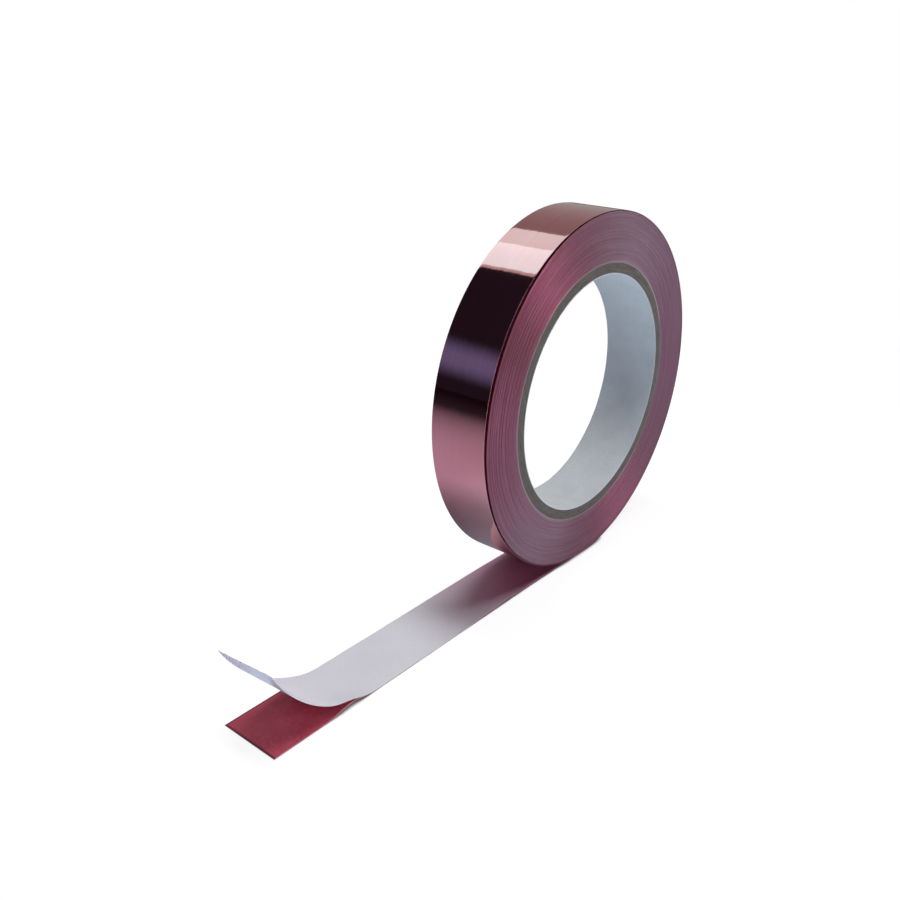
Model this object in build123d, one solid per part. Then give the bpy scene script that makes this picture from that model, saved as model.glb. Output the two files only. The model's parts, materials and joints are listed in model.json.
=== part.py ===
"""Roll of copper foil tape on a paperboard core, with a length drawn off and its liner partly peeled.

Millimetres. The origin is the middle of the core, +Y runs along the axis of the roll, and +Z is up.
The roll stands on its edge, and the tape leaves its bottom towards -X and lies on z = -roll_radius.
"""

import os
from math import cos, pi, radians, sin

from build123d import *

# The tape, from its copper side to its liner side
tape_width = 19.0
foil_thickness = 0.035
adhesive_thickness = 0.025
liner_thickness = 0.085

# The core, a tube wound from paperboard plies between two papers
bore_radius = 38.25
core_radius = 41.8
inner_paper_thickness = 0.25
outer_paper_thickness = 0.15
ply_count = 6

# The strip that holds the first turn to the core
tab_thickness = 0.1
tab_length = 25.0
tab_angle = 40.0

# The tight turns, grouped in bands
band_count = 5
turns_per_band = 21

# The last turn, which stands off the others at the upper left
turn_clearance = 0.18
loose_gap = 0.5
loose_from = 75.0
loose_to = 200.0
turn_start = -90.0
turn_end = 264.0

# The length drawn off: it bends at the bend line, and its liner is stuck down as far as the peel line
bend_distance = 30.0
peel_distance = 102.4
tail_length = 135.5
tail_drift = 0.6
bend_gap = 0.3
peel_gap = 0.3

# The peeled end of the liner, curling up in two arcs
curl_radii = (20.5, 42.5)
curl_angles = (17.8, 47.1)
curl_lift = 0.03

# Derived sizes
tape_thickness = foil_thickness + adhesive_thickness + liner_thickness
band_thickness = turns_per_band * tape_thickness
pack_radius = core_radius + band_count * band_thickness
roll_radius = pack_radius + turn_clearance + tape_thickness
ply_inner = bore_radius + inner_paper_thickness
ply_outer = core_radius - outer_paper_thickness
ply_thickness = (ply_outer - ply_inner) / ply_count
foil_bottom = -roll_radius
foil_top = foil_bottom + foil_thickness
adhesive_top = foil_top + adhesive_thickness
liner_top = adhesive_top + liner_thickness


def across(face):
    """A face drawn in X and Z, given the width of the tape along Y."""
    return extrude(face, tape_width / 2, both=True)


def polar(radius, angle):
    """The point at this radius and angle, in X and Z."""
    return (radius * cos(radians(angle)), radius * sin(radians(angle)))


def ring(inner, outer):
    """A full turn of material between two radii."""
    return across(Plane.XZ * (Circle(outer) - Circle(inner)))


def ring_sector(inner, outer, middle, length):
    """A short curved strip between two radii, with its middle at an angle and its length along the inside."""
    half = length / inner * 90 / pi
    inside = CenterArc((0, 0), inner, middle - half, 2 * half)
    outside = CenterArc((0, 0), outer, middle - half, 2 * half)
    ends = [Line(inside @ 0, outside @ 0), Line(inside @ 1, outside @ 1)]
    return across(Plane.XZ * make_face([inside, outside] + ends))


def core_parts():
    """The plies and papers of the core, from the bore outwards."""
    parts = {"core_inner_paper": ring(bore_radius, ply_inner)}
    for i in range(ply_count):
        inner = ply_inner + i * ply_thickness
        parts[f"core_ply_{i + 1}"] = ring(inner, inner + ply_thickness)
    parts["core_outer_paper"] = ring(ply_outer, core_radius)
    return parts


def wound_parts():
    """The strip that starts the winding, and the tight turns in bands around it."""
    tab = ring_sector(core_radius, core_radius + tab_thickness, tab_angle, tab_length)
    parts = {"start_tab": tab}
    for i in range(band_count):
        inner = core_radius + i * band_thickness
        band = ring(inner, inner + band_thickness)
        first = i * turns_per_band + 1
        name = f"wound_turns_{first:03d}_{first + turns_per_band - 1:03d}"
        parts[name] = band - tab if i == 0 else band
    return parts


def turn_path(radius):
    """The path of one surface of the last turn: round, then standing off in three tangent arcs, then round."""
    half = (loose_to - loose_from) / 2
    middle = loose_from + half
    shift = loose_gap / (2 - 2 * cos(radians(half / 2)))
    crown = radius + shift - 2 * shift * cos(radians(half / 2))
    return [
        CenterArc((0, 0), radius, turn_start, loose_from - turn_start),
        CenterArc(polar(-shift, loose_from), radius + shift, loose_from, half / 2),
        CenterArc(polar(shift, middle), crown, middle - half / 2, half),
        CenterArc(polar(-shift, loose_to), radius + shift, loose_to - half / 2, half / 2),
        CenterArc((0, 0), radius, loose_to, turn_end - loose_to),
    ]


def turn_layer(inner, outer):
    """One layer of the last turn, between two paths."""
    inside = turn_path(inner)
    outside = turn_path(outer)
    ends = [
        Line(inside[0] @ 0, outside[0] @ 0),
        Line(inside[-1] @ 1, outside[-1] @ 1),
    ]
    return across(Plane.XZ * make_face(inside + outside + ends))


def strip(start, end, bottom, top):
    """One flat layer of the length drawn off, from one distance to another, drifting until the bend line."""

    def edge(distance, side):
        drift = tail_drift * min(distance / bend_distance, 1)
        return (-distance, side * tape_width / 2 + drift)

    outline = Polyline(edge(start, -1), edge(end, -1), edge(end, 1), edge(start, 1), close=True)
    return extrude(Plane.XY.offset(bottom) * make_face(outline), top - bottom)


def last_turn_parts():
    """The loose last turn, and the flat start of the length drawn off."""
    end = bend_distance - bend_gap / 2
    liner_radius = roll_radius - foil_thickness - adhesive_thickness
    return {
        "outer_turn_foil": turn_layer(liner_radius, roll_radius),
        "outer_turn_liner": turn_layer(liner_radius - liner_thickness, liner_radius),
        "lead_foil": strip(0, end, foil_bottom, foil_top),
        "lead_adhesive": strip(0, end, foil_top, adhesive_top),
        "lead_liner": strip(0, end, adhesive_top, liner_top),
    }


def tail_parts():
    """The rest of the length drawn off, bare of liner past the peel line."""
    start = bend_distance + bend_gap / 2
    return {
        "tail_foil": strip(start, tail_length, foil_bottom, foil_top),
        "tail_adhesive": strip(start, tail_length, foil_top, adhesive_top),
        "tail_liner": strip(start, peel_distance, adhesive_top, liner_top),
    }


def curl_path(inset):
    """The curl of the peeled liner in X and Z, for the surface that lies this far inside its outer one."""
    centre = Vector(-peel_distance - peel_gap, adhesive_top + curl_lift + curl_radii[0])
    angle = -90.0
    arcs = []
    for i, (radius, turn) in enumerate(zip(curl_radii, curl_angles)):
        if i:
            centre -= Vector(*polar(radius - curl_radii[i - 1], angle))
        arcs.append(CenterArc(centre, radius - inset, angle, -turn))
        angle -= turn
    return arcs


def flap_parts():
    """The peeled end of the liner, curling up off the adhesive."""
    outside = curl_path(0)
    inside = curl_path(liner_thickness)
    ends = [
        Line(inside[0] @ 0, outside[0] @ 0),
        Line(inside[-1] @ 1, outside[-1] @ 1),
    ]
    flap = across(Plane.XZ * make_face(inside + outside + ends))
    return {"liner_flap": Pos(0, tail_drift, 0) * flap}


def main():
    os.makedirs("parts", exist_ok=True)
    parts = {**core_parts(), **wound_parts(), **last_turn_parts(), **tail_parts(), **flap_parts()}
    for name, shape in parts.items():
        export_step(shape, f"parts/{name}.step")


main()
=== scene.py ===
import json
from math import cos, pi, radians, sin

import bmesh
import bpy
import numpy as np
from mathutils import Matrix, Vector


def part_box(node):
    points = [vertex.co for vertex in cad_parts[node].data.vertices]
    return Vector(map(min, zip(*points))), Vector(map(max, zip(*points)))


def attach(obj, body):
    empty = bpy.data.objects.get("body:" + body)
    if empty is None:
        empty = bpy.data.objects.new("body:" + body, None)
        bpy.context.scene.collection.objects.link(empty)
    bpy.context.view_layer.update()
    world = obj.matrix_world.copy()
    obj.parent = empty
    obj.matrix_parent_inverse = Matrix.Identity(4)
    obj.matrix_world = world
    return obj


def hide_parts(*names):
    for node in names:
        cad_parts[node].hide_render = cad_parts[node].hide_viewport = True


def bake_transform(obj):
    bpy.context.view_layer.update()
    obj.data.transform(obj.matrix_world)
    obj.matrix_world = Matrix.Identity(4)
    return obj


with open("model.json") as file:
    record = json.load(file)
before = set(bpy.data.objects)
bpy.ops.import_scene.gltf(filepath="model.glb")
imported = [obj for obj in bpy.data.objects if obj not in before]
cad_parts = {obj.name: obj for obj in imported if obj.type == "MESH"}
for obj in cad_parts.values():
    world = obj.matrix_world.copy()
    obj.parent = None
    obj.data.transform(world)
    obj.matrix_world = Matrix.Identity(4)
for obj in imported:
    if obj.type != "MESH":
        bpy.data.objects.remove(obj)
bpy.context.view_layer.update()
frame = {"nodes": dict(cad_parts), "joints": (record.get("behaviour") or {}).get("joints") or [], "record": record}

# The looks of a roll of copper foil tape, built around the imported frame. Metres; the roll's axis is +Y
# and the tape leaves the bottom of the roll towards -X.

MM = 0.001


def low(node):
    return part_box(node)[0]


def high(node):
    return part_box(node)[1]


def record_entry(entries, name):
    """The entry of a record's list that has this name."""
    return next(entry for entry in entries if entry["name"] == name)


# Sizes read from the frame
HALF_WIDTH = high("core_ply_1").y
ROLL_RADIUS = -low("tail_foil").z
FOIL = high("tail_foil").z - low("tail_foil").z
ADHESIVE = high("tail_adhesive").z - low("tail_adhesive").z
LINER = high("tail_liner").z - low("tail_liner").z
TAPE = FOIL + ADHESIVE + LINER
CORE_RADIUS = high("core_outer_paper").x
BORE_RADIUS = record_entry(frame["record"]["mounts"], "core_bore")["dims"]["r_mm"] * MM
PEEL_DISTANCE = -low("tail_liner").x
TAIL_LENGTH = -low("tail_foil").x
TAIL_DRIFT = high("tail_foil").y - HALF_WIDTH
BEND_DISTANCE = -record_entry(frame["joints"], "tail_lift")["pos_m"][0]
FLOOR = -ROLL_RADIUS
PLIES = [n for n in sorted(frame["nodes"]) if n.startswith("core_ply_")]
BANDS = [n for n in sorted(frame["nodes"]) if n.startswith("wound_turns_")]
TURN_COUNT = int(BANDS[-1].split("_")[-1])

# Faces that meet at more than this many degrees keep a sharp edge
SHARP_ANGLE = 32.0

# The core
RING_ROWS = 288
BOARD_BEVEL = 0.06 * MM
BOARD_WOBBLE = 0.035 * MM
BOARD_RECESS = 0.12 * MM
PAPER_BEVEL = 0.03 * MM
PAPER_WOBBLE = 0.02 * MM
PAPER_RECESS = 0.02 * MM

# The tight turns
TURN_ROWS = 120
TURN_JITTER = 0.03 * MM
JITTER_SEED = 77
JITTER_KNOTS = 120
LINER_RECESS = 0.05 * MM
STEP_TURNS = (17, 30, 41, 53, 62, 72, 80, 88, 95)
STEP_SIZE = 0.09 * MM
FLAT_DEPTH = 1.0 * MM
FLAT_MIDDLE = 168.0
FLAT_HALF = 78.0
TAB_THICKNESS = 0.1 * MM
TAB_LENGTH = 25.0 * MM
TAB_ANGLE = 40.0
TAB_FADE = 0.25
TAB_BURIED_TURNS = 25

# The last turn, which stands off the others at the upper left
TURN_START = -90.0
TURN_END = 264.0
LOOSE_FROM = 75.0
LOOSE_TO = 200.0
LOOSE_GAP = 0.5 * MM
END_FADE = 20.0
FOIL_WAVES = 0.012 * MM
FOIL_WAVE_SEED = 5
FOIL_WAVE_LENGTHS = (9 * MM, 26 * MM)
EDGE_ROLL = 0.012 * MM
EDGE_ZONE = 0.3 * MM
TURN_LINER_RECESS = 0.6 * MM
ACROSS = 19

# How far the edges of the layers lie inside the edges of the foil
ADHESIVE_INSET = 0.04 * MM
ADHESIVE_SETBACK = 0.1 * MM
LINER_INSET = 0.05 * MM

# The length drawn off
STRIP_STEP = 0.75 * MM
CURL_STEP = 0.6 * STRIP_STEP
ROOT_LENGTH = 7.0 * MM
FREE_LENGTH = 41.3 * MM
CURL_SKEW = radians(4.1)

# How the drawn tape stands off what it lies on: a swell all over, a pull beside the peel line, and an
# edge curled up near the roll. Each ramp has a start and a length.
SWELL_LIFT = 0.05 * MM
SWELL_SEED = 9
SWELL_WAVE_LENGTHS = (24 * MM, 60 * MM)
SWELL_RAMP = (8 * MM, 30 * MM)
PULLED_LIFT = 1.3 * MM
PULLED_AT = 109 * MM
PULLED_REACH = 5.5 * MM
PULLED_EDGE_RAMP = (2 * MM, 7 * MM)
CURLED_LIFT = 0.45 * MM
CURLED_START_RAMP = (6 * MM, 10 * MM)
CURLED_END = 64 * MM
CURLED_END_LENGTH = 20 * MM
CURLED_EDGE_RAMP = (5 * MM, 4.5 * MM)

# The curl of the peeled end, as stretches of its length with the bend of each in radians per metre
CURL_BENDS = ((6.35 * MM, 48.8), (FREE_LENGTH, 23.5))

# The camera and the studio, whose softboxes are placed from a point near the top of the roll
CAMERA_TARGET = Vector((-60.566, 0.0, -2.555)) * MM
CAMERA_AZIMUTH = radians(-50.599)
CAMERA_ELEVATION = radians(23.524)
CAMERA_DISTANCE = 264.144 * MM
CAMERA_ROLL = radians(1.253)
CAMERA_LENS = 37.82
SOFTBOX_HEIGHT = 0.6
SOFTBOX_SHIFT = -0.025
SOFTBOX_RISE = 0.05
FLOOR_SIZE = 4.0


# Node trees

def put(tree, socket, value):
    """Sets a socket, or links another socket to it."""
    if isinstance(value, bpy.types.NodeSocket):
        tree.links.new(value, socket)
    else:
        socket.default_value = value


def add(tree, kind, inputs=None, **settings):
    """A shader node with its settings and inputs."""
    made = tree.nodes.new("ShaderNode" + kind)
    for key, value in settings.items():
        setattr(made, key, value)
    for key, value in (inputs or {}).items():
        put(tree, made.inputs[key], value)
    return made


def maths(tree, operation, a, b=0.0, c=0.0):
    return add(tree, "Math", {0: a, 1: b, 2: c}, operation=operation).outputs[0]


def spread(tree, value, lowest, highest, start=0.0, end=1.0):
    """A value mapped from one range to another, and held within it."""
    inputs = {"Value": value, "From Min": lowest, "From Max": highest, "To Min": start, "To Max": end}
    return add(tree, "MapRange", inputs, interpolation_type="SMOOTHSTEP").outputs["Result"]


def blend_colours(tree, factor, first, second):
    made = add(tree, "Mix", data_type="RGBA")
    put(tree, made.inputs["Factor"], factor)
    put(tree, made.inputs[6], first)
    put(tree, made.inputs[7], second)
    return made.outputs[2]


def between(tree, value, lowest, highest, first, second):
    """One colour where a value is low and another where it is high."""
    return blend_colours(tree, spread(tree, value, lowest, highest), first, second)


def rgb(red, green, blue):
    return (red, green, blue, 1.0)


def noise(tree, vector, scale, detail=3.0, roughness=0.5):
    inputs = {"Vector": vector, "Scale": scale, "Detail": detail, "Roughness": roughness}
    return add(tree, "TexNoise", inputs).outputs[0]


def stretched(tree, vector, x, y):
    """A coordinate stretched by a different amount in X and in Y."""
    return add(tree, "VectorMath", {0: vector, 1: (x, y, 1.0)}, operation="MULTIPLY").outputs[0]


def tape_coordinate(tree):
    """Metres along and across the tape."""
    return add(tree, "UVMap", uv_map="Length").outputs[0]


def object_coordinate(tree):
    return add(tree, "TexCoord").outputs["Object"]


def hypotenuse(tree, a, b):
    squares = maths(tree, "ADD", maths(tree, "MULTIPLY", a, a), maths(tree, "MULTIPLY", b, b))
    return maths(tree, "SQRT", squares)


def polar_coordinate(tree, radial, around):
    """A coordinate with the radius in X and the place around the roll in Y and Z."""
    place = add(tree, "SeparateXYZ", {0: object_coordinate(tree)}).outputs
    radius = hypotenuse(tree, place[0], place[2])
    side = maths(tree, "MULTIPLY", maths(tree, "DIVIDE", place[0], radius), around)
    upward = maths(tree, "MULTIPLY", maths(tree, "DIVIDE", place[2], radius), around)
    depth = maths(tree, "MULTIPLY", radius, radial)
    return add(tree, "CombineXYZ", {0: depth, 1: side, 2: upward}).outputs[0], radius


def bump(tree, height, strength, distance, normal=None):
    inputs = {"Height": height, "Strength": strength, "Distance": distance}
    if normal is not None:
        inputs["Normal"] = normal
    return add(tree, "Bump", inputs).outputs[0]


def material(name, build):
    """A material whose Principled BSDF is fed by build(tree, shader)."""
    made = bpy.data.materials.new(name)
    made.use_nodes = True
    build(made.node_tree, made.node_tree.nodes["Principled BSDF"])
    return made


def feed(tree, shader, **values):
    for key, value in values.items():
        put(tree, shader.inputs[key.replace("_", " ").title().replace("Ior", "IOR")], value)


# Materials

def build_copper(tree, shader):
    """Bright rolled copper: a mirror with faint lines along the tape and faint cloudy tarnish."""
    place = tape_coordinate(tree)
    lines = noise(tree, stretched(tree, place, 14.0, 2600.0), 1.0, 4.0, 0.6)
    cloud = noise(tree, stretched(tree, place, 45.0, 90.0), 1.0, 3.0, 0.55)
    ripple = noise(tree, stretched(tree, place, 200.0, 520.0), 1.0, 2.0, 0.5)
    tone = between(tree, cloud, 0.3, 0.7, rgb(0.83, 0.45, 0.44), rgb(0.89, 0.51, 0.50))
    colour = between(tree, lines, 0.3, 0.75, tone, rgb(0.81, 0.43, 0.43))
    rough = maths(tree, "ADD", spread(tree, lines, 0.3, 0.7, 0.035, 0.06),
                  spread(tree, cloud, 0.4, 0.8, 0.0, 0.03))
    relief = bump(tree, lines, 0.04, 0.00004)
    relief = bump(tree, ripple, 0.3, 0.00005, relief)
    feed(tree, shader, base_color=colour, metallic=1.0, roughness=rough, normal=relief)


def build_adhesive(tree, shader):
    """Clear tacky adhesive over the crimson back of the foil. Painted shade darkens it towards its far side, and
    it has a painted highlight along its near edge and dark rims at the far side and the end."""
    place = tape_coordinate(tree)
    blotches = noise(tree, stretched(tree, place, 700.0, 900.0), 1.0, 5.0, 0.65)
    cloud = noise(tree, stretched(tree, place, 90.0, 120.0), 1.0, 3.0, 0.6)
    tone = between(tree, cloud, 0.3, 0.7, rgb(0.80, 0.08, 0.13), rgb(0.94, 0.12, 0.18))
    tone = between(tree, blotches, 0.45, 0.75, tone, rgb(0.97, 0.17, 0.215))
    parts = add(tree, "SeparateXYZ", {0: place}).outputs
    # painted highlight: the near edge is lightened to a pale copper, as if catching the light
    near = spread(tree, parts[1], -HALF_WIDTH + 0.3 * MM, -HALF_WIDTH + 0.1 * MM)
    far = spread(tree, parts[1], HALF_WIDTH - 0.6 * MM, HALF_WIDTH - 0.35 * MM)
    end = spread(tree, parts[0], TAIL_LENGTH - 0.8 * MM, TAIL_LENGTH - 0.5 * MM)
    rim = maths(tree, "MAXIMUM", far, end)
    # painted shade: the adhesive is darkened towards its far side
    shade = spread(tree, parts[1], -0.2 * HALF_WIDTH, HALF_WIDTH, 0.0, 0.6)
    tone = blend_colours(tree, shade, tone, rgb(0.40, 0.03, 0.07))
    colour = blend_colours(tree, rim, tone, rgb(0.24, 0.02, 0.04))
    colour = blend_colours(tree, near, colour, rgb(0.85, 0.55, 0.50))
    rough = spread(tree, blotches, 0.3, 0.7, 0.34, 0.5)
    relief = bump(tree, blotches, 0.35, 0.0001)
    relief = bump(tree, cloud, 0.3, 0.0002, relief)
    feed(tree, shader, base_color=colour, metallic=0.2, roughness=rough, normal=relief)
    feed(tree, shader, coat_weight=0.25, coat_roughness=0.22)


def build_liner(tree, shader):
    """White release paper with a soft silicone gloss and faint fibres, with the roll's shade and reflection
    painted in plum next to the roll.
    """
    place = tape_coordinate(tree)
    along = add(tree, "SeparateXYZ", {0: place}).outputs[0]
    fibres = noise(tree, stretched(tree, place, 900.0, 2200.0), 1.0, 5.0, 0.65)
    cloud = noise(tree, stretched(tree, place, 70.0, 90.0), 1.0, 3.0, 0.5)
    tone = between(tree, cloud, 0.3, 0.7, rgb(0.78, 0.80, 0.85), rgb(0.83, 0.85, 0.88))
    colour = between(tree, fibres, 0.4, 0.8, tone, rgb(0.74, 0.75, 0.80))
    # painted shade and reflection of the roll: a plum tint on the liner near the roll
    roll_shade_tint = spread(tree, along, 20 * MM, 70 * MM, 0.85, 0.0)
    colour = blend_colours(tree, roll_shade_tint, colour, rgb(0.50, 0.13, 0.30))
    rough = spread(tree, fibres, 0.3, 0.7, 0.30, 0.40)
    relief = bump(tree, fibres, 0.12, 0.00004)
    relief = bump(tree, cloud, 0.2, 0.0002, relief)
    feed(tree, shader, base_color=colour, roughness=rough, normal=relief)
    feed(tree, shader, coat_weight=0.6, coat_roughness=0.12)


def build_wound_edge(tree, shader):
    """The edges of the tight turns: burnished copper in fine rings, some brighter than others."""
    rings, radius = polar_coordinate(tree, 5200.0, 1.6)
    fine = noise(tree, rings, 1.0, 4.0, 0.7)
    bands, _ = polar_coordinate(tree, 900.0, 2.2)
    wide = noise(tree, bands, 1.0, 3.0, 0.6)
    near_core = spread(tree, radius, CORE_RADIUS + 0.1 * MM, CORE_RADIUS + 0.7 * MM, 1.0, 0.0)
    tone = between(tree, wide, 0.3, 0.7, rgb(0.21, 0.050, 0.105), rgb(0.30, 0.082, 0.158))
    tone = between(tree, fine, 0.45, 0.8, tone, rgb(0.44, 0.165, 0.25))
    colour = blend_colours(tree, near_core, tone, rgb(0.50, 0.38, 0.41))
    rough = spread(tree, fine, 0.3, 0.7, 0.52, 0.36)
    relief = bump(tree, fine, 0.4, 0.00006)
    relief = bump(tree, wide, 0.35, 0.0002, relief)
    tangent = add(tree, "Tangent", direction_type="RADIAL", axis="Y").outputs[0]
    feed(tree, shader, base_color=colour, metallic=1.0, roughness=rough, normal=relief)
    feed(tree, shader, anisotropic=0.95, anisotropic_rotation=0.25, tangent=tangent)


def build_gap_shade_liner(tree, shader):
    """The inside of the last turn, painted deep crimson as the shade in the gap under it."""
    place = tape_coordinate(tree)
    fibres = noise(tree, stretched(tree, place, 900.0, 2200.0), 1.0, 4.0, 0.6)
    # painted shade: a near-black crimson standing for the shaded gap under the last turn
    colour = between(tree, fibres, 0.3, 0.7, rgb(0.10, 0.006, 0.022), rgb(0.17, 0.014, 0.042))
    relief = bump(tree, fibres, 0.2, 0.00004)
    rough = spread(tree, fibres, 0.3, 0.7, 0.45, 0.6)
    feed(tree, shader, base_color=colour, roughness=rough, normal=relief)


def build_wound_liner(tree, shader):
    """The edges of the release paper between the turns, with painted shade and a painted copper reflection from
    the turns beside them.
    """
    rings, _ = polar_coordinate(tree, 2600.0, 1.6)
    fine = noise(tree, rings, 1.0, 3.0, 0.6)
    # painted shade and copper reflection: the white paper's edges are coloured a dark rosy mauve
    colour = between(tree, fine, 0.3, 0.7, rgb(0.34, 0.21, 0.25), rgb(0.50, 0.36, 0.40))
    rough = spread(tree, fine, 0.3, 0.7, 0.5, 0.65)
    feed(tree, shader, base_color=colour, roughness=rough)


def build_board(tree, shader):
    """Grey-brown chipboard: recycled fibres, darker flecks and plies that show on the cut edge."""
    rings, _ = polar_coordinate(tree, 1900.0, 9.0)
    streaks = noise(tree, rings, 1.0, 4.0, 0.65)
    flecks = noise(tree, object_coordinate(tree), 2600.0, 4.0, 0.7)
    tone = between(tree, streaks, 0.3, 0.7, rgb(0.115, 0.098, 0.08), rgb(0.185, 0.16, 0.132))
    colour = between(tree, flecks, 0.5, 0.75, tone, rgb(0.075, 0.064, 0.055))
    relief = bump(tree, flecks, 0.6, 0.0001)
    relief = bump(tree, streaks, 0.5, 0.0002, relief)
    rough = spread(tree, flecks, 0.3, 0.7, 0.75, 0.92)
    feed(tree, shader, base_color=colour, roughness=rough, normal=relief)


def build_bore_paper(tree, shader):
    """Smooth white lining paper with faint mottling."""
    place = object_coordinate(tree)
    fibres = noise(tree, place, 2200.0, 5.0, 0.65)
    mottle = noise(tree, place, 160.0, 4.0, 0.6)
    tone = between(tree, mottle, 0.3, 0.7, rgb(0.68, 0.735, 0.745), rgb(0.74, 0.79, 0.79))
    colour = between(tree, fibres, 0.45, 0.8, tone, rgb(0.62, 0.645, 0.68))
    relief = bump(tree, fibres, 0.25, 0.00005)
    relief = bump(tree, mottle, 0.25, 0.0003, relief)
    rough = spread(tree, fibres, 0.3, 0.7, 0.5, 0.65)
    feed(tree, shader, base_color=colour, roughness=rough, normal=relief)


def build_wrap_paper(tree, shader):
    """The thin pale paper around the core, seen as a light line on its edge."""
    fibres = noise(tree, object_coordinate(tree), 2400.0, 4.0, 0.6)
    colour = between(tree, fibres, 0.3, 0.7, rgb(0.30, 0.235, 0.23), rgb(0.40, 0.33, 0.32))
    relief = bump(tree, fibres, 0.3, 0.00006)
    rough = spread(tree, fibres, 0.3, 0.7, 0.6, 0.75)
    feed(tree, shader, base_color=colour, roughness=rough, normal=relief)


def build_tab_paper(tree, shader):
    """The gummed paper strip that starts the winding."""
    fibres = noise(tree, object_coordinate(tree), 1800.0, 4.0, 0.6)
    colour = between(tree, fibres, 0.3, 0.7, rgb(0.66, 0.58, 0.44), rgb(0.78, 0.71, 0.57))
    relief = bump(tree, fibres, 0.3, 0.00006)
    rough = spread(tree, fibres, 0.3, 0.7, 0.55, 0.7)
    feed(tree, shader, base_color=colour, roughness=rough, normal=relief)


COPPER = material("copper_foil", build_copper)
STICKY = material("adhesive", build_adhesive)
RELEASE = material("release_liner", build_liner)
WOUND_EDGE = material("wound_foil_edge", build_wound_edge)
GAP_SHADE_LINER = material("gap_shade_liner", build_gap_shade_liner)
WOUND_LINER = material("wound_liner_edge", build_wound_liner)
BOARD = material("chipboard", build_board)
BORE_PAPER = material("bore_paper", build_bore_paper)
WRAP_PAPER = material("core_wrap_paper", build_wrap_paper)
TAB_PAPER = material("tab_paper", build_tab_paper)


# Meshes

def ramp(value, start, length):
    """Zero up to the start, and one from a length further on."""
    return np.clip((value - start) / length, 0, 1)


def sweep(name, sections, materials, along, across, closed=False, finish=None, flat_ends=True):
    """A closed mesh through section loops, an array of rows by points by 3.

    along and across are the tape coordinates of the rows and of the points of a section, and finish
    is the material number of each side of the section.
    """
    rows, count = sections.shape[:2]
    spans = rows if closed else rows - 1
    i, k = (grid.ravel() for grid in np.meshgrid(np.arange(spans), np.arange(count), indexing="ij"))
    k_next = (k + 1) % count
    corners = ((i, k), (i + 1, k), (i + 1, k_next), (i, k_next))
    quads = np.stack([(row % rows) * count + point for row, point in corners], -1)
    maps = np.stack([np.stack([along[row], across[point]], -1) for row, point in corners], 1)
    faces = quads.tolist()
    uvs = [maps.reshape(-1, 2)]
    sides = list(np.zeros(count, int) if finish is None else finish) * spans
    for row in [] if closed else [0, rows - 1]:
        caps = [list(range(count))]
        if flat_ends:
            caps = [[c, c + 1, count - 2 - c, count - 1 - c] for c in range(count // 2 - 1)]
        for cap in caps:
            faces.append([row * count + point for point in cap])
            uvs.append(np.array([(along[row], across[point]) for point in cap]))
            sides.append(0)
    mesh = bpy.data.meshes.new(name)
    mesh.from_pydata(sections.reshape(-1, 3).tolist(), [], faces)
    layer = mesh.uv_layers.new(name="Length")
    layer.data.foreach_set("uv", np.concatenate(uvs).ravel().astype(np.float32))
    for each in materials:
        mesh.materials.append(each)
    mesh.polygons.foreach_set("material_index", np.array(sides, np.int32))
    return finished(name, mesh)


def finished(name, mesh):
    """The object for a mesh, with its faces turned outwards and shaded smooth between its sharp edges."""
    tidy = bmesh.new()
    tidy.from_mesh(mesh)
    bmesh.ops.recalc_face_normals(tidy, faces=tidy.faces)
    tidy.to_mesh(mesh)
    tidy.free()
    mesh.shade_smooth()
    mesh.set_sharp_from_angle(angle=radians(SHARP_ANGLE))
    piece = bpy.data.objects.new(name, mesh)
    bpy.context.scene.collection.objects.link(piece)
    return piece


def waves(u, v, seed, shortest, longest, count=6):
    """Smooth unevenness between -1 and 1 over tape coordinates, from a few crossing waves."""
    draw = np.random.default_rng(seed)
    total = np.zeros(np.broadcast(u, v).shape)
    for _ in range(count):
        length = draw.uniform(shortest, longest)
        heading = draw.uniform(-1.1, 1.1)
        phase = draw.uniform(0, 2 * pi)
        total += np.sin(2 * pi * (u * cos(heading) + v * sin(heading)) / length + phase)
    return total / count


def around(radius, y, angles):
    """Points at these radii and angles, in metres and radians."""
    radius, y, angles = np.broadcast_arrays(radius, y, angles)
    return np.stack([radius * np.cos(angles), y, radius * np.sin(angles)], -1)


# The core

def ring_piece(name, node, inner, outer, half, bevel, wobble, seed, finish):
    """A full ring with rounded edges whose rims wander a little, standing for one CAD ring."""
    angles = np.linspace(0, 2 * pi, RING_ROWS, endpoint=False)[:, None]
    draw = np.random.default_rng(seed)
    rims = []
    for _ in range(2):
        rim = sum(np.sin(order * angles + draw.uniform(0, 2 * pi)) for order in (3, 7, 16, 31)) / 4
        rims.append(rim)
    profile = np.array([
        (inner, -half + bevel), (inner + bevel, -half), (outer - bevel, -half), (outer, -half + bevel),
        (outer, half - bevel), (outer - bevel, half), (inner + bevel, half), (inner, half - bevel),
    ])
    front = profile[:, 1] < 0
    y = profile[None, :, 1] + wobble * np.where(front[None, :], rims[0], rims[1])
    sections = around(profile[None, :, 0], y, angles)
    along = np.linspace(0, 2 * pi * outer, RING_ROWS + 1)
    piece = sweep(name, sections, [finish], along, profile[:, 1], closed=True)
    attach(piece, "roll")
    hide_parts(node)
    return piece


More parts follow.
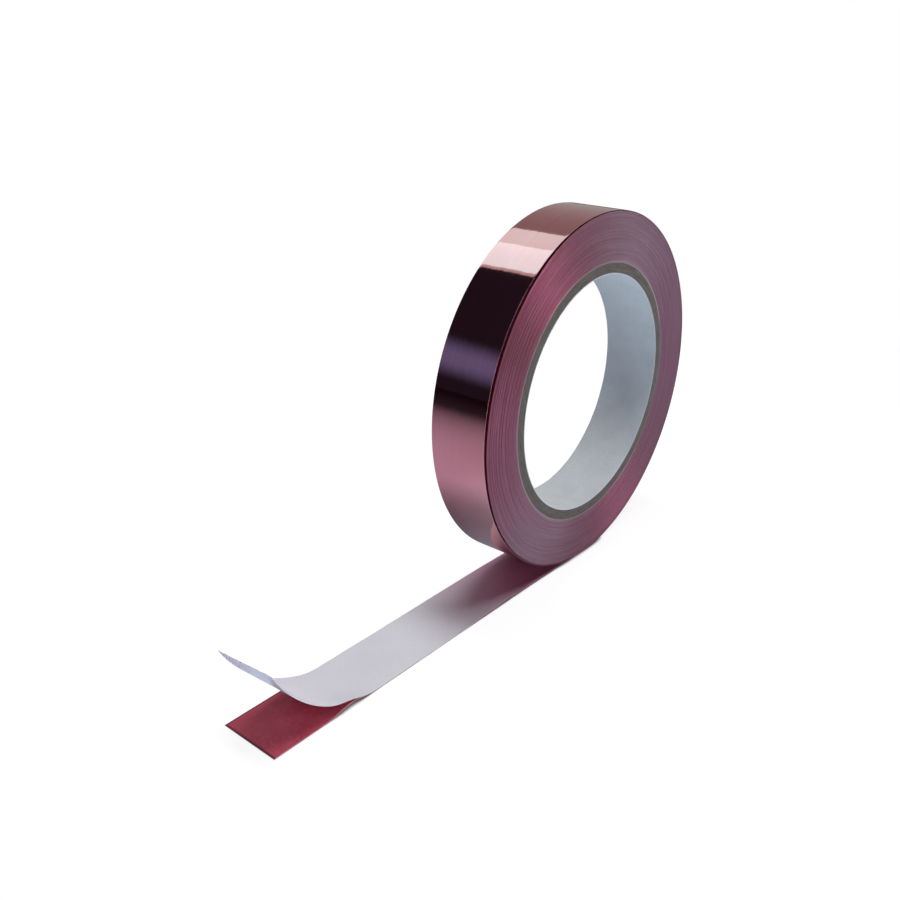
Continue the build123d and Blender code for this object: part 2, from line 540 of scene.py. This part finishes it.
def make_core():
    """The lining paper, the board plies, every other one set in deeper, and the wrapping paper."""
    lining = high("core_inner_paper").x
    half = HALF_WIDTH - PAPER_RECESS
    bore = ring_piece("bore_lining", "core_inner_paper", BORE_RADIUS, lining, half,
                      PAPER_BEVEL, PAPER_WOBBLE, 11, BORE_PAPER)
    inner = lining
    for number, node in enumerate(PLIES):
        outer = high(node).x
        recess = BOARD_RECESS * (0.6 + 0.4 * (number % 2))
        ply = ring_piece(f"board_ply_{number + 1}", node, inner, outer, HALF_WIDTH - recess,
                         BOARD_BEVEL, BOARD_WOBBLE, 20 + number, BOARD)
        inner = outer
    wrap = ring_piece("core_wrap", "core_outer_paper", inner, CORE_RADIUS, half,
                      PAPER_BEVEL, PAPER_WOBBLE, 31, WRAP_PAPER)


def make_tab():
    """The strip under the first turn keeps its CAD shape."""
    tab = frame["nodes"]["start_tab"]
    tab.data.materials.clear()
    tab.data.materials.append(TAB_PAPER)


# The tight turns

def over_tab(angles):
    """How far the first turns are lifted by the strip under them, as a share of its thickness."""
    half = TAB_LENGTH / CORE_RADIUS / 2
    away = np.abs((angles - radians(TAB_ANGLE) + pi) % (2 * pi) - pi)
    return 1 - ramp(away, half, TAB_FADE * half)


def flattened(angles):
    """The share of its greatest flattening that the winding has at these angles."""
    away = np.abs((np.degrees(angles) - FLAT_MIDDLE + 180) % 360 - 180)
    return np.cos(pi / 2 * ramp(away, 0, FLAT_HALF)) ** 2


def winding_radius(turn, angles):
    """The radius reached after this many turns from the core."""
    buried = np.clip(1 - turn / TAB_BURIED_TURNS, 0, 1)
    flat = FLAT_DEPTH * flattened(angles) * (turn / TURN_COUNT) ** 2
    return CORE_RADIUS + TAPE * turn - flat + TAB_THICKNESS * buried * over_tab(angles)


def turn_offsets(turn):
    """The sideways error of the winding after this many turns: jitter, a slow sway, and sudden steps with
    slow returns."""
    draw = np.random.default_rng(JITTER_SEED)
    knots = draw.uniform(-1, 1, JITTER_KNOTS)
    slow = np.sin(turn * 0.21 + 1.0) * 0.35
    jitter = TURN_JITTER * (0.65 * np.interp(turn, np.arange(JITTER_KNOTS), knots) + slow)
    places = [0.0]
    heights = [0.5]
    for step in STEP_TURNS:
        places += [step - 0.3, step + 0.3]
        heights += [-0.5, 0.5]
    return jitter + STEP_SIZE * np.interp(turn, places, heights)


def make_band(node, first, last):
    """One continuous wound length of tape, from one turn to another, counted from the core."""
    count = (last - first) * TURN_ROWS + 1
    turn = np.linspace(first, last, count)[:, None]
    angles = radians(TURN_END) - 2 * pi * turn
    inside = winding_radius(turn, angles)
    middle = winding_radius(turn + LINER / TAPE, angles)
    outside = winding_radius(turn + 1, angles)
    foil_half = HALF_WIDTH - TURN_JITTER
    liner_half = foil_half - LINER_RECESS
    radius = np.concatenate([inside, middle, middle, outside, outside, middle, middle, inside], 1)
    near_half = [-liner_half, -liner_half, -foil_half, -foil_half]
    sides = np.array(near_half + [foil_half, foil_half, liner_half, liner_half])
    sections = around(radius, sides[None, :] + turn_offsets(turn), angles)
    along = (turn * 2 * pi * inside).ravel()
    finish = [1, 1, 0, 2, 0, 1, 1, 3]
    name = node.replace("wound_turns", "tape_turns")
    materials = [WOUND_EDGE, WOUND_LINER, COPPER, RELEASE]
    band = sweep(name, sections, materials, along, sides, finish=finish, flat_ends=False)
    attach(band, "roll")
    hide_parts(node)


def make_bands():
    for node in BANDS:
        first, last = (int(part) for part in node.split("_")[-2:])
        make_band(node, first - 1, last)


# The last turn

def loose(angles):
    """How far the last turn stands off the others at these angles."""
    share = ramp(np.degrees(angles), LOOSE_FROM, LOOSE_TO - LOOSE_FROM)
    return LOOSE_GAP * np.sin(pi * share) ** 2


def spaced(half):
    """Places across the tape, closer together near its edges."""
    return half * np.sin(np.linspace(-pi / 2, pi / 2, ACROSS))[None, :]


def make_turn_layer(name, node, inner, outer, half, outside, inside):
    """One layer of the last turn, uneven on its outer surface, with edges that roll in slightly."""
    degrees = np.arange(TURN_START, TURN_END + 0.5, 1.0)
    angles = np.radians(degrees)[:, None]
    across = spaced(half)
    along = ROLL_RADIUS * (angles - angles[0])
    from_end = np.minimum(degrees - TURN_START, TURN_END - degrees)[:, None]
    ends = ramp(from_end, 0, END_FADE)
    uneven = FOIL_WAVES * ends * waves(along, across, FOIL_WAVE_SEED, *FOIL_WAVE_LENGTHS)
    rolled = EDGE_ROLL * ends * np.clip((np.abs(across) - HALF_WIDTH + EDGE_ZONE) / EDGE_ZONE, 0, 1) ** 2
    base = loose(angles) - rolled
    top = around(outer + base + uneven, across, angles)
    bottom = around(inner + base, across, angles)
    sections = np.concatenate([top, bottom[:, ::-1]], 1)
    sides = np.concatenate([across[0], across[0][::-1]])
    finish = [0] * ACROSS + [1] * (ACROSS - 1) + [0]
    piece = sweep(name, sections, [outside, inside], along.ravel(), sides, finish=finish)
    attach(piece, "last_turn")
    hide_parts(node)


def make_last_turn():
    """The foil with its adhesive, and the liner inside it."""
    interface = ROLL_RADIUS - FOIL - ADHESIVE
    make_turn_layer("last_turn_foil", "outer_turn_foil", interface, ROLL_RADIUS, HALF_WIDTH,
                    COPPER, GAP_SHADE_LINER)
    make_turn_layer("last_turn_liner", "outer_turn_liner", interface - LINER, interface,
                    HALF_WIDTH - TURN_LINER_RECESS, GAP_SHADE_LINER, GAP_SHADE_LINER)


# The length drawn off

def drift(distance):
    """The sideways drift of the tape after leaving the roll."""
    return TAIL_DRIFT * ramp(distance, 0, BEND_DISTANCE)


def tail_lift(distance, y):
    """How far the tape stands off the surface it lies on: a little all over, more at its near edge."""
    unevenness = 1 + waves(distance, y, SWELL_SEED, *SWELL_WAVE_LENGTHS)
    swell = SWELL_LIFT * ramp(distance, *SWELL_RAMP) * unevenness
    pulled = np.exp(-(((distance - PULLED_AT) / PULLED_REACH) ** 2)) * ramp(-y, *PULLED_EDGE_RAMP) ** 2
    stretch = ramp(distance, *CURLED_START_RAMP) * ramp(-distance, -CURLED_END, CURLED_END_LENGTH)
    curled = stretch * ramp(-y, *CURLED_EDGE_RAMP) ** 2
    return swell + PULLED_LIFT * pulled + CURLED_LIFT * curled


def make_strip(name, nodes, start, end, bottom, top, half, finish):
    """One flat layer of the drawn length, from the last turn to the end of the tail, drifting sideways up to the
    bend.
    """
    count = int((end - start) / STRIP_STEP) + 1
    distance = np.linspace(start, end, count)[:, None]
    across = spaced(half)
    y = across + drift(distance)
    lift = tail_lift(distance, across)
    flat = 0 * y
    upper = np.stack([flat - distance, y, flat + FLOOR + top + lift], -1)
    lower = np.stack([flat - distance, y, flat + FLOOR + bottom + lift], -1)
    sections = np.concatenate([upper, lower[:, ::-1]], 1)
    sides = np.concatenate([across[0], across[0][::-1]])
    piece = sweep(name, sections, [finish], distance.ravel(), sides)
    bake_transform(piece)
    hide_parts(*nodes)


def make_drawn_length():
    """The three layers of the tape, each from the roll to its own end."""
    sticky_top = FOIL + ADHESIVE
    make_strip("drawn_foil", ["lead_foil", "tail_foil"], 0, TAIL_LENGTH, 0, FOIL,
               HALF_WIDTH, COPPER)
    make_strip("drawn_adhesive", ["lead_adhesive", "tail_adhesive"], 0, TAIL_LENGTH - ADHESIVE_SETBACK,
               FOIL, sticky_top, HALF_WIDTH - ADHESIVE_INSET, STICKY)
    make_strip("drawn_liner", ["lead_liner", "tail_liner"], 0, PEEL_DISTANCE - ROOT_LENGTH, sticky_top,
               sticky_top + LINER, HALF_WIDTH - LINER_INSET, RELEASE)


# The peeled end of the liner

def curl_line(reach):
    """How far out, how high and how steep the curl is, this far past the peel line."""
    out = np.minimum(reach, 0.0)
    up = np.zeros_like(reach)
    slope = np.zeros_like(reach)
    left = np.maximum(reach, 0.0)
    for bend_length, bend in CURL_BENDS:
        step = np.minimum(left, bend_length)
        turned = slope + bend * step
        out = out + (np.sin(turned) - np.sin(slope)) / bend
        up = up + (np.cos(slope) - np.cos(turned)) / bend
        slope = turned
        left = left - step
    return out, up, slope


def make_peeled_end():
    """The liner past its root: stuck down, then curling up off the adhesive about a slightly skew line."""
    start = PEEL_DISTANCE - ROOT_LENGTH
    end = PEEL_DISTANCE + FREE_LENGTH
    count = int((end - start) / CURL_STEP) + 1
    half = HALF_WIDTH - LINER_INSET
    distance = np.linspace(start, end, count)[:, None]
    across = spaced(half)
    past = distance - PEEL_DISTANCE + 0 * across
    side = across + HALF_WIDTH + 0 * past
    reach = past * cos(CURL_SKEW) - side * sin(CURL_SKEW)
    slide = past * sin(CURL_SKEW) + side * cos(CURL_SKEW)
    out, up, slope = curl_line(reach)
    lift = tail_lift(distance, across) * np.clip(1 - past / FREE_LENGTH, 0, 1)
    base = FLOOR + FOIL + ADHESIVE

    def surface(thickness):
        forward = out - np.sin(slope) * thickness
        x = -PEEL_DISTANCE - forward * cos(CURL_SKEW) - slide * sin(CURL_SKEW)
        y = TAIL_DRIFT - HALF_WIDTH - forward * sin(CURL_SKEW) + slide * cos(CURL_SKEW)
        return np.stack([x, y, base + lift + up + np.cos(slope) * thickness], -1)

    sections = np.concatenate([surface(LINER), surface(0.0)[:, ::-1]], 1)
    sides = np.concatenate([across[0], across[0][::-1]])
    piece = sweep("peeled_liner_end", sections, [RELEASE], distance.ravel(), sides)
    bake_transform(piece)
    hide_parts("liner_flap")


# The studio

def floor_in_surfaces(tree, place, away):
    """What the object's surfaces see of the floor. It is pale, dimmer behind the roll, where a painted falloff of
    the light and a painted shadow of the roll darken it, and gives off a faint blue light in front of the roll and
    past the end of the tape."""
    behind = spread(tree, place[1], -0.055, 0.045)
    tone = blend_colours(tree, behind, rgb(0.78, 0.86, 0.95), rgb(0.63, 0.52, 0.68))
    # painted falloff of the light with distance and a painted shadow of the roll, behind the roll
    painted_falloff_and_shadow = maths(tree, "MAXIMUM", spread(tree, away, 0.06, 0.5, 0.0, 0.92),
                 spread(tree, away, 0.045, 0.095, 0.8, 0.0))
    tone = blend_colours(tree, maths(tree, "MULTIPLY", behind, painted_falloff_and_shadow), tone, rgb(0.0, 0.0, 0.0))
    pale = add(tree, "BsdfDiffuse", {"Color": tone}).outputs[0]
    ahead = maths(tree, "SUBTRACT", 1.0, behind)
    beyond = maths(tree, "MULTIPLY", spread(tree, place[0], -0.12, -0.09, 1.0, 0.0),
                   spread(tree, place[1], 0.0, 0.03, 1.0, 0.0))
    strength = maths(tree, "MULTIPLY_ADD", beyond, 0.3, maths(tree, "MULTIPLY", ahead, 0.42))
    lift = add(tree, "Emission", {"Color": rgb(0.60, 0.90, 1.0), "Strength": strength}).outputs[0]
    return add(tree, "AddShader", {0: pale, 1: lift}).outputs[0]


def floor_in_view(tree, away):
    """What the camera sees of the floor: soft shadows near the object, and plain white away from it."""
    soft = add(tree, "BsdfDiffuse", {"Color": rgb(0.20, 0.20, 0.205)}).outputs[0]
    open_air = add(tree, "AmbientOcclusion", {"Distance": 2 * MM}, samples=8).outputs["AO"]
    strength = spread(tree, open_air, 0.3, 0.9, 0.0, 0.9)
    glow = add(tree, "Emission", {"Color": rgb(1.0, 1.0, 1.0), "Strength": strength}).outputs[0]
    white = add(tree, "Emission", {"Color": rgb(1.0, 1.0, 1.0), "Strength": 1.0}).outputs[0]
    near = add(tree, "AddShader", {0: soft, 1: glow}).outputs[0]
    return add(tree, "MixShader", {0: spread(tree, away, 0.16, 0.34), 1: near, 2: white}).outputs[0]


def build_floor(tree, shader):
    tree.nodes.remove(shader)
    place = add(tree, "SeparateXYZ", {0: object_coordinate(tree)}).outputs
    away = hypotenuse(tree, place[0], place[1])
    seen = add(tree, "LightPath").outputs["Is Camera Ray"]
    sides = {0: seen, 1: floor_in_surfaces(tree, place, away), 2: floor_in_view(tree, away)}
    mixed = add(tree, "MixShader", sides).outputs[0]
    tree.links.new(mixed, tree.nodes["Material Output"].inputs["Surface"])


def make_floor():
    """A plain pale floor."""
    mesh = bpy.data.meshes.new("floor")
    corners = [(x * FLOOR_SIZE, y * FLOOR_SIZE, FLOOR) for x, y in ((-1, -1), (1, -1), (1, 1), (-1, 1))]
    mesh.from_pydata(corners, [], [(0, 1, 2, 3)])
    mesh.materials.append(material("floor", build_floor))
    floor = bpy.data.objects.new("floor", mesh)
    bpy.context.scene.collection.objects.link(floor)


def make_softbox(name, x_range, y_range, radiance, colour, mirrored=True):
    """A rectangular light facing down, placed in units of its own height. It is either seen in shiny
    surfaces or lights dull ones."""
    light = bpy.data.lights.new(name, "AREA")
    light.shape = "RECTANGLE"
    light.size = (x_range[1] - x_range[0]) * SOFTBOX_HEIGHT
    light.size_y = (y_range[1] - y_range[0]) * SOFTBOX_HEIGHT
    light.energy = radiance * pi * light.size * light.size_y
    light.color = colour
    lamp = bpy.data.objects.new(name, light)
    x = sum(x_range) / 2 * SOFTBOX_HEIGHT
    y = sum(y_range) / 2 * SOFTBOX_HEIGHT
    lamp.location = (x + SOFTBOX_SHIFT, y, SOFTBOX_HEIGHT + SOFTBOX_RISE)
    lamp.visible_diffuse = not mirrored
    lamp.visible_glossy = mirrored
    bpy.context.scene.collection.objects.link(lamp)


def window(tree, value, start, end, soft):
    """One inside a range and zero outside it, with soft ends."""
    rise = spread(tree, value, start - soft, start + soft)
    fall = spread(tree, value, end - soft, end + soft, 1.0, 0.0)
    return maths(tree, "MULTIPLY", rise, fall)


def facing(tree, place, azimuth):
    """One straight towards an azimuth, falling to zero a quarter turn away and overhead."""
    eastward = maths(tree, "MULTIPLY", place[0], cos(radians(azimuth)))
    northward = maths(tree, "MULTIPLY", place[1], sin(radians(azimuth)))
    return maths(tree, "ADD", eastward, northward)


def room_colour(tree):
    """A dim room: grey on the right, a window in front, dark at the back left with a faint violet
    panel, and a low bluish window beyond the tail."""
    place = add(tree, "SeparateXYZ", {0: add(tree, "TexCoord").outputs["Generated"]}).outputs
    azimuth = maths(tree, "ARCTAN2", place[1], place[0])
    elevation = maths(tree, "ARCSINE", place[2])
    right = spread(tree, facing(tree, place, 38), 0.35, 0.6)
    near_ground = spread(tree, elevation, radians(10), radians(20), 1.0, 0.0)
    bluish = maths(tree, "MULTIPLY", spread(tree, facing(tree, place, 218), 0.70, 0.90), near_ground)
    front = maths(tree, "MULTIPLY", window(tree, azimuth, radians(-66), radians(-50), radians(4)),
                  window(tree, elevation, radians(0), radians(12), radians(3)))
    dark = maths(tree, "MULTIPLY", window(tree, azimuth, radians(93), radians(176), radians(5)),
                 window(tree, elevation, radians(-17), radians(66), radians(7)))
    panel = maths(tree, "MULTIPLY", window(tree, azimuth, radians(128), radians(158), radians(5)),
                  window(tree, elevation, radians(9.5), radians(22.5), radians(5)))
    grey = between(tree, elevation, 0.0, radians(44), rgb(0.36, 0.36, 0.35), rgb(0.26, 0.20, 0.21))
    room = blend_colours(tree, right, rgb(0.09, 0.015, 0.035), grey)
    room = blend_colours(tree, bluish, room, rgb(0.35, 0.42, 0.48))
    room = blend_colours(tree, front, room, rgb(14.0, 12.0, 12.0))
    room = blend_colours(tree, dark, room, rgb(0.014, 0.010, 0.016))
    return blend_colours(tree, panel, room, rgb(0.13, 0.14, 0.30))


def make_surroundings():
    """The room, which lights the object and is mirrored in it, and plain white for the camera."""
    world = bpy.data.worlds.new("studio")
    bpy.context.scene.world = world
    world.use_nodes = True
    tree = world.node_tree
    tree.nodes.clear()
    seen = add(tree, "LightPath").outputs["Is Camera Ray"]
    colour = blend_colours(tree, seen, room_colour(tree), rgb(1.0, 1.0, 1.0))
    light = add(tree, "Background", {"Color": colour, "Strength": 1.0}).outputs[0]
    output = add(tree, "OutputWorld")
    tree.links.new(light, output.inputs["Surface"])


def make_camera():
    """The camera, looking down on the roll from its tail side."""
    spin, tilt, twist = CAMERA_AZIMUTH, CAMERA_ELEVATION, CAMERA_ROLL
    back = Vector((sin(spin) * cos(tilt), -cos(spin) * cos(tilt), sin(tilt)))
    right = Vector((cos(spin), sin(spin), 0.0))
    up = back.cross(right)
    turned_right = right * cos(twist) + up * sin(twist)
    turned_up = up * cos(twist) - right * sin(twist)
    camera = bpy.data.objects.new("camera", bpy.data.cameras.new("camera"))
    camera.data.lens = CAMERA_LENS
    camera.data.sensor_width = 36.0
    camera.data.clip_start = 0.01
    turn = Matrix((turned_right, turned_up, back)).transposed()
    camera.matrix_world = Matrix.Translation(CAMERA_TARGET + back * CAMERA_DISTANCE) @ turn.to_4x4()
    bpy.context.scene.collection.objects.link(camera)
    bpy.context.scene.camera = camera


def make_studio():
    make_floor()
    make_surroundings()
    make_softbox("top_softbox", (-0.02, 0.27), (-0.4, 0.52), 12.5, (0.93, 0.98, 1.0), False)
    make_softbox("top_panel", (-0.3, 0.8), (-0.45, 0.5), 2.8, (0.93, 0.98, 1.0))
    make_softbox("back_softbox_left", (-0.09, 0.29), (0.52, 1.05), 1.42, (0.64, 0.98, 1.0))
    make_softbox("back_softbox_right", (0.29, 0.63), (0.52, 1.05), 0.86, (0.67, 0.98, 0.97))
    make_softbox("back_softbox_rim", (-0.13, -0.09), (0.52, 1.05), 0.5, (1.0, 0.9, 0.9))
    make_softbox("front_softbox", (-0.09, 0.63), (-1.05, -0.52), 1.2, (0.85, 0.97, 1.0))
    bpy.context.scene.view_settings.view_transform = "Standard"


make_camera()
make_core()
make_tab()
make_bands()
make_last_turn()
make_drawn_length()
make_peeled_end()
make_studio()

bpy.context.view_layer.update()
